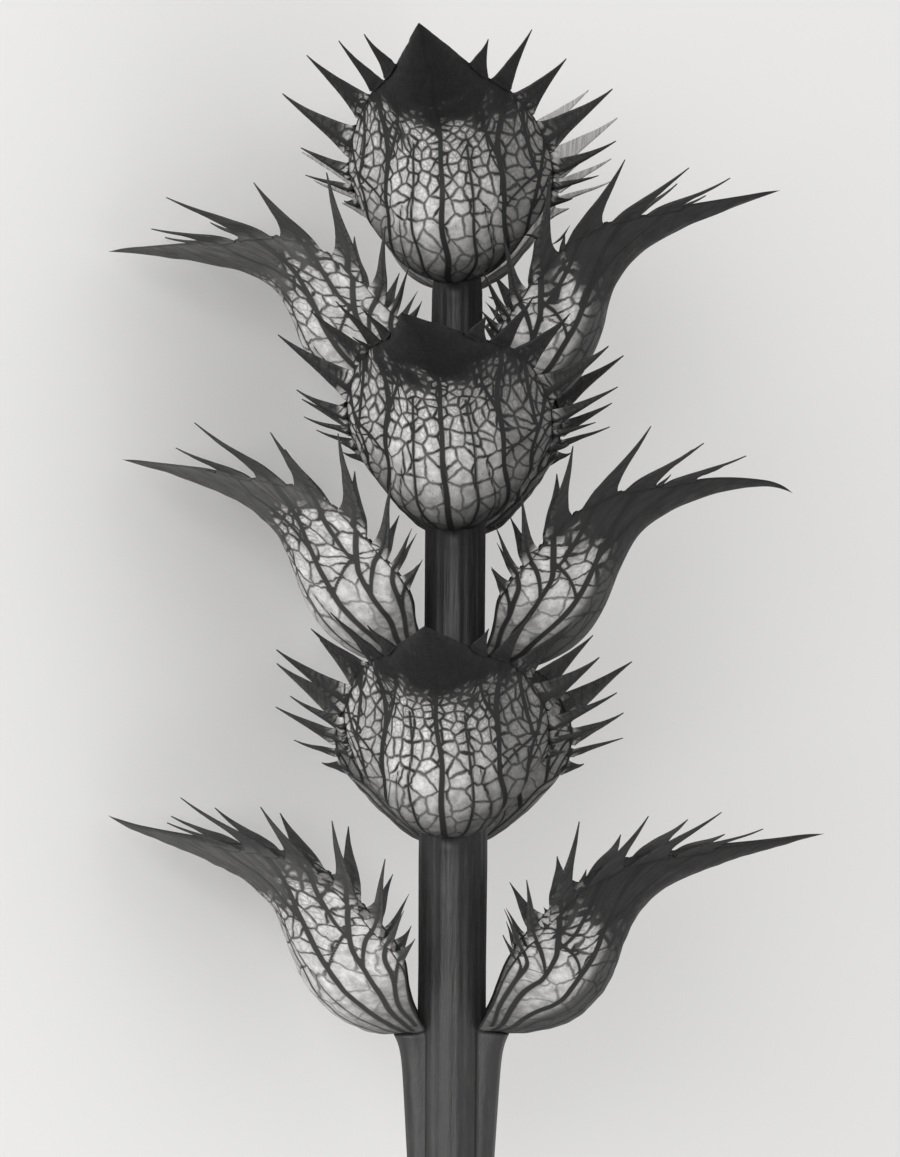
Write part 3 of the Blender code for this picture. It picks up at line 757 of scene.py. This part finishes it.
def stem_material():
    """Dark ribbed bark-like skin with long pale streaks."""
    n = Nodes("stem_skin")
    place = n.attribute("skin", "Vector")
    long_streak = n.noise(n.vector("MULTIPLY", place, (1.0, 0.045, 1.0)), 1.1, 5.0, 0.6)
    fine_streak = n.noise(n.vector("MULTIPLY", place, (1.0, 0.10, 1.0)), 4.0, 4.0, 0.6)
    blotch = n.noise(place, 0.35, 4.0, 0.6)
    tone = n.mix(n.ramp(long_streak, 0.30, 0.75), grey(0.13), grey(0.205))
    tone = n.mix(n.ramp(fine_streak, 0.45, 0.80, 0.0, 0.40), tone, grey(0.25))
    tone = n.mix(n.ramp(blotch, 0.45, 0.80, 0.0, 0.45), tone, grey(0.11))
    n.put(n.shader.inputs["Base Color"], tone)
    n.put(n.shader.inputs["Roughness"], n.ramp(long_streak, 0.3, 0.7, 0.42, 0.6))
    n.shader.inputs["Specular IOR Level"].default_value = 0.45
    height = n.math("ADD", n.math("MULTIPLY", fine_streak, 0.6), n.math("MULTIPLY", long_streak, 0.8))
    bump = n.add("ShaderNodeBump", {"Strength": 0.5, "Distance": 0.0002, "Height": height})
    n.put(n.shader.inputs["Normal"], bump.outputs["Normal"])
    return n.material


def plain_material(name, level, roughness):
    n = Nodes(name)
    coordinates = n.add("ShaderNodeTexCoord").outputs["Object"]
    mottle = n.noise(coordinates, 900.0, 3.0)
    tone = n.mix(n.ramp(mottle, 0.3, 0.7), grey(level * 0.8), grey(level * 1.3))
    n.put(n.shader.inputs["Base Color"], tone)
    n.shader.inputs["Roughness"].default_value = roughness
    return n.material


# ---- Pieces ------------------------------------------------------------------------------------

def bract_shade(bract, turn, station):
    """Where a bract's membrane is darker: painted shade towards the right in front, as if lit from the
    left, a painted shadow just outside the keel's fold, darker low at the foot in front, and painted shade
    on the back band of the right row, which faces away from the light.
    """
    if bract.row == "front":
        base = 1 - smoothstep(0.15, 0.38, station)
        # painted shadow just outside the keel, where the wing folds back
        fold_shadow = smoothstep(0.50, 0.54, np.abs(turn)) * (1 - smoothstep(0.58, 0.82, np.abs(turn)))
        # painted shade: the right side darker, as if lit from the left
        rightward_shade = smoothstep(-0.15, 0.30, turn) * 0.40 + smoothstep(0.45, 0.65, turn) * 0.45
        return rightward_shade + fold_shadow * 0.35 + base * 0.75
    if bract.row == "right":
        # painted shade on the back band, which faces away from the light
        return 1 - smoothstep(0.38, 0.52, np.abs(turn))
    return np.zeros_like(turn)


def build_bract(bract, number, axis, material, tissue):
    seed = 100 + 17 * number
    form = Form(bract)
    points, faces, values = bract_sheet(bract, form, seed)
    points, faces, values = close_sheet(points, faces, values, seed)
    net, raw, rate = net_vectors(values, bract, number)
    station = values["station"]
    dip = 0.03 * waves(values["flat"], seed + 21, 5.0)
    solid = smoothstep(tissue.start, tissue.full, station + dip + CAP_SPREAD * values["turn"] ** 2)
    # Cycles keeps the name "density" for volumes, so the net's cells per mm are called net_rate.
    attributes = {"net": net, "raw": raw, "net_rate": rate, "rib": values["rib"],
                  "station": station, "spine": values["spine"], "solid": solid,
                  "shade": bract_shade(bract, values["turn"], station)}
    points = placed(points, local_to_frame(row_angle(bract), bract.height, axis))
    mesh = make_mesh(bract.name + "_tissue", points, faces, attributes)
    return show(bract.name + "_tissue", mesh, material, (bract.name,))


STRIP_HALF_ANGLE = 0.50
STRIP_GROOVE = 0.28           # mm that the grooves beside a strip are deep
STEM_ROWS = 390
STEM_SIDES = 240
END_ROWS = 12                 # rows of the stem's blunt upper end
END_ROUNDING = 1.2            # mm below the top where that end starts
END_HEIGHT = 1.15             # mm of it that are modelled before the top is closed flat
FINE_GROOVES = ((9, 0.3), (14, 1.9), (23, 0.8))    # grooves round the stem, with their phases
GROOVE_DEPTH = 0.022
SKIN_RADIUS = 3.2             # mm, to turn angles into lengths in the skin's own coordinates
CUT_SKIN = 2.0                # the third skin coordinate on the two ends, 0 on the side


def skin_radius(h, a):
    """The stem's fine surface: decurrent strips below the lowest side pair, faint ribs elsewhere."""
    radius = stem_radius(h)
    for bract in BRACTS:
        turn = a - row_angle(bract)
        turn = np.arctan2(np.sin(turn), np.cos(turn))
        below = bract.height - h
        fade = np.clip(1 - np.maximum(below, 0) / RIB_FADE, 0, 1)
        if bract.height < LOWEST_PAIR:
            rise = smoothstep(-0.35, 0.05, below)
            flare = 0.7 * np.exp(-(np.maximum(below, 0) / 1.2) ** 1.1)
            bump = np.exp(-(turn / STRIP_HALF_ANGLE) ** 4)
            groove = np.exp(-((np.abs(turn) - STRIP_HALF_ANGLE * 1.25) / 0.09) ** 2)
            radius = radius + rise * (fade * LOWEST_RIB + flare) * bump
            radius = radius - STRIP_GROOVE * groove * rise
        else:
            rise = smoothstep(-1.0, 1.5, below)
            flare = 0.45 * np.exp(-(np.maximum(below, 0) / 1.5) ** 1.3)
            bump = np.exp(-(turn / RIB_HALF_ANGLE) ** 2)
            radius = radius + rise * (fade * UPPER_RIB + flare) * bump
    return radius


def build_stem(axis, material):
    """The ribbed stem with fine grooves, its clean cut below and its blunt end above."""
    shoulder = STEM_TOP - END_ROUNDING
    end_heights = shoulder + END_HEIGHT * np.sin(np.linspace(0, math.pi / 2, END_ROWS)[1:])
    heights = np.concatenate([np.linspace(0, shoulder, STEM_ROWS), end_heights])
    sides = STEM_SIDES
    angles = math.tau * np.arange(sides) / sides
    h, a = np.meshgrid(heights, angles, indexing="ij")
    grooves = sum(np.cos(k * a + p + 0.02 * h) for k, p in FINE_GROOVES) * GROOVE_DEPTH
    radius = skin_radius(h, a) + grooves
    past = np.clip(h - shoulder, 0, END_HEIGHT) / END_ROUNDING
    rounding = np.sqrt(np.clip(1 - past ** 2, 0, 1))
    radius = radius * (0.35 + 0.65 * rounding)
    place = np.stack([radius * np.sin(a), h, radius * np.cos(a)], -1)
    rows = len(heights)
    index = np.arange(rows * sides).reshape(rows, sides)
    after = np.roll(index, -1, axis=1)
    faces = np.stack([index[:-1], after[:-1], after[1:], index[1:]], -1).reshape(-1, 4)
    points = [place.reshape(-1, 3)]
    skin = [np.stack([a * SKIN_RADIUS, h, np.zeros_like(h)], -1).reshape(-1, 3)]
    all_faces = [faces]
    count = rows * sides
    for end, ring, height in ((0, index[0][::-1], 0.0), (-1, index[-1], heights[-1])):
        edge = ring
        for share in (0.8, 0.5, 0.2):
            inner = place[end] * np.array([share, 1, share])
            inner = inner[::-1] if end == 0 else inner
            fresh = count + np.arange(sides)
            points.append(inner)
            skin.append(np.stack([angles * SKIN_RADIUS * share, np.full(sides, height),
                                  np.full(sides, CUT_SKIN)], -1))
            following = np.roll(edge, -1)
            all_faces.append(np.stack([edge, following, np.roll(fresh, -1), fresh], -1))
            edge = fresh
            count += sides
        middle = count
        points.append(np.array([[0.0, height, 0.0]]))
        skin.append(np.array([[0.0, height, CUT_SKIN]]))
        count += 1
        pairs = edge.reshape(-1, 2)
        following = np.roll(pairs[:, 0], -1)
        hub = np.full(len(pairs), middle)
        all_faces.append(np.stack([pairs[:, 0], pairs[:, 1], following, hub], -1))
    points = placed(np.concatenate(points), Matrix.Translation(axis) @ Matrix.Scale(MM, 4))
    mesh = make_mesh("stem_ribbed", points, np.concatenate(all_faces), {"skin": np.concatenate(skin)})
    return show("stem_ribbed", mesh, material, ("stem",))


THREAD_RADIUS = 0.14
# Points in mm: right of the axis and in front of it as the camera sees it, and the height.
THREADS = {
    "dried_thread_1": ((4.2, -2.0, 92.2), (5.6, -2.6, 93.6), (7.4, -3.0, 93.9), (9.0, -3.6, 93.0),
                       (10.3, -4.2, 93.6), (11.3, -4.4, 95.0)),
    "dried_thread_2": ((2.9, 2.6, 84.4), (3.8, 2.6, 85.4), (3.9, 2.9, 87.0), (3.1, 3.3, 87.4)),
}


def build_thread(name, knots, axis, material):
    """A wiry dried thread whose thickness varies along it."""
    turn = math.sin(math.radians(45))
    curve = bpy.data.curves.new(name + "_wiry", "CURVE")
    curve.dimensions = "3D"
    curve.bevel_depth = THREAD_RADIUS * MM
    curve.bevel_resolution = 3
    curve.use_fill_caps = True
    spline = curve.splines.new("POLY")
    along = np.linspace(0, 1, len(knots))
    fine = np.linspace(0, 1, 12 * len(knots))
    right, front, height = (smooth_value(fine, along, np.array(knots)[:, i]) for i in range(3))
    spline.points.add(len(fine) - 1)
    for i, target in enumerate(spline.points):
        x = (right[i] - front[i]) * turn * MM + axis.x
        z = (right[i] + front[i]) * turn * MM + axis.z
        target.co = (x, height[i] * MM + axis.y, z, 1.0)
        target.radius = 1.0 + 0.35 * math.sin(fine[i] * 17) - 0.5 * fine[i]
    piece = bpy.data.objects.new(name + "_wiry", curve)
    bpy.context.scene.collection.objects.link(piece)
    curve.materials.append(material)
    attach(piece, "root")
    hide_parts(name)
    return piece


# ---- Stage -------------------------------------------------------------------------------------

def build_floor():
    mesh = bpy.data.meshes.new("floor")
    size = 1.2
    corners = [(-size, -size, 0), (size, -size, 0), (size, size, 0), (-size, size, 0)]
    mesh.from_pydata(corners, [], [(0, 1, 2, 3)])
    floor = bpy.data.objects.new("floor", mesh)
    bpy.context.scene.collection.objects.link(floor)
    n = Nodes("floor_paper")
    n.shader.inputs["Base Color"].default_value = grey(0.90, 0.004)
    n.shader.inputs["Roughness"].default_value = 0.9
    n.shader.inputs["Specular IOR Level"].default_value = 0.1
    mesh.materials.append(n.material)


def add_light(name, location, target, size, power):
    data = bpy.data.lights.new(name, "AREA")
    data.shape = "DISK"
    data.size = size
    data.energy = power
    light = bpy.data.objects.new(name, data)
    light.location = location
    light.rotation_euler = (Vector(target) - Vector(location)).to_track_quat("-Z", "Y").to_euler()
    bpy.context.scene.collection.objects.link(light)


def build_lights():
    world = bpy.data.worlds.new("studio")
    world.use_nodes = True
    world.node_tree.nodes["Background"].inputs["Color"].default_value = (1.0, 0.997, 0.99, 1.0)
    world.node_tree.nodes["Background"].inputs["Strength"].default_value = 0.80
    bpy.context.scene.world = world
    bpy.context.scene.view_settings.view_transform = "Standard"
    add_light("key", (-0.95, 0.16, 0.47), (0, 0, 0.03), 0.7, 8.5)


CAMERA_DISTANCE = 0.600       # m
SENSOR = 36.0
VIEW_HEIGHT = 0.1157          # what the frame's height spans at the stem's axis
VIEW_CENTRE = (-0.5, 59.35)   # mm right of the axis and above the cut end
LEAN = math.radians(0.45)     # how far the spike leans in the frame


def build_camera(axis):
    """Looks down at 45 degrees, straight at the front row, through a long lens."""
    right = Vector((1, 0, 1)).normalized()
    front = Vector((-1, 0, 1)).normalized()
    data = bpy.data.cameras.new("camera")
    data.sensor_width = SENSOR
    data.lens = SENSOR * CAMERA_DISTANCE / VIEW_HEIGHT
    data.clip_start = 0.01
    camera = bpy.data.objects.new("camera", data)
    centre = axis + right * VIEW_CENTRE[0] * MM + Vector((0, VIEW_CENTRE[1] * MM, 0))
    up = Vector((0, 1, 0)) * math.cos(LEAN) - right * math.sin(LEAN)
    side = up.cross(front)
    turn = Matrix((side, up, front)).transposed()
    camera.matrix_world = Matrix.Translation(centre + front * CAMERA_DISTANCE) @ turn.to_4x4()
    bpy.context.scene.collection.objects.link(camera)
    bpy.context.scene.camera = camera


# The left row's "light" and the right row's "dark" tissue are a lit and a shaded copy of one tissue: the
# lighter veins and blade of "light" are painted light, as if lit from behind on the left, and the darker
# veins and blade of "dark", with its deep shadow, are painted shade.
TISSUES = {
    "light": Tissue(0.75, 0.19, 0.28, 0.36, 1.2, 0.46, 0.66, 0.97, 0.0),
    "front": Tissue(0.76, 0.14, 0.08, 0.62, 1.5, 0.50, 0.70, 1.0, 0.66),
    "dark": Tissue(0.76, 0.15, 0.15, 0.46, 1.3, 0.38, 0.58, 1.0, 0.93),
    "pale": Tissue(0.76, 0.56, 0.64, 0.5, 0.7, 0.50, 0.80, 0.6, 0.0),
    "rear": Tissue(0.69, 0.22, 0.24, 0.5, 1.0, 0.46, 0.64, 0.95, 0.0),
}
# the left row takes the lit copy and the right row the shaded copy
TISSUE_OF = {"front": "front", "left": "light", "right": "dark", "rear": "rear"}


def main():
    axis = find_axis()
    build_camera(axis)
    build_lights()
    build_floor()
    build_stem(axis, stem_material())
    materials = {key: bract_material("tissue_" + key, value) for key, value in TISSUES.items()}
    for number, bract in enumerate(BRACTS):
        # the top rear bract takes the "pale" tissue: painted backlight, its veins, spines and blade
        # lightened as if light shone through them
        kind = "pale" if bract.name == "rear_bract_1" else TISSUE_OF[bract.row]
        build_bract(bract, number, axis, materials[kind], TISSUES[kind])
    dry = plain_material("dry_thread", 0.25, 0.7)
    for name, knots in THREADS.items():
        build_thread(name, knots, axis, dry)


main()
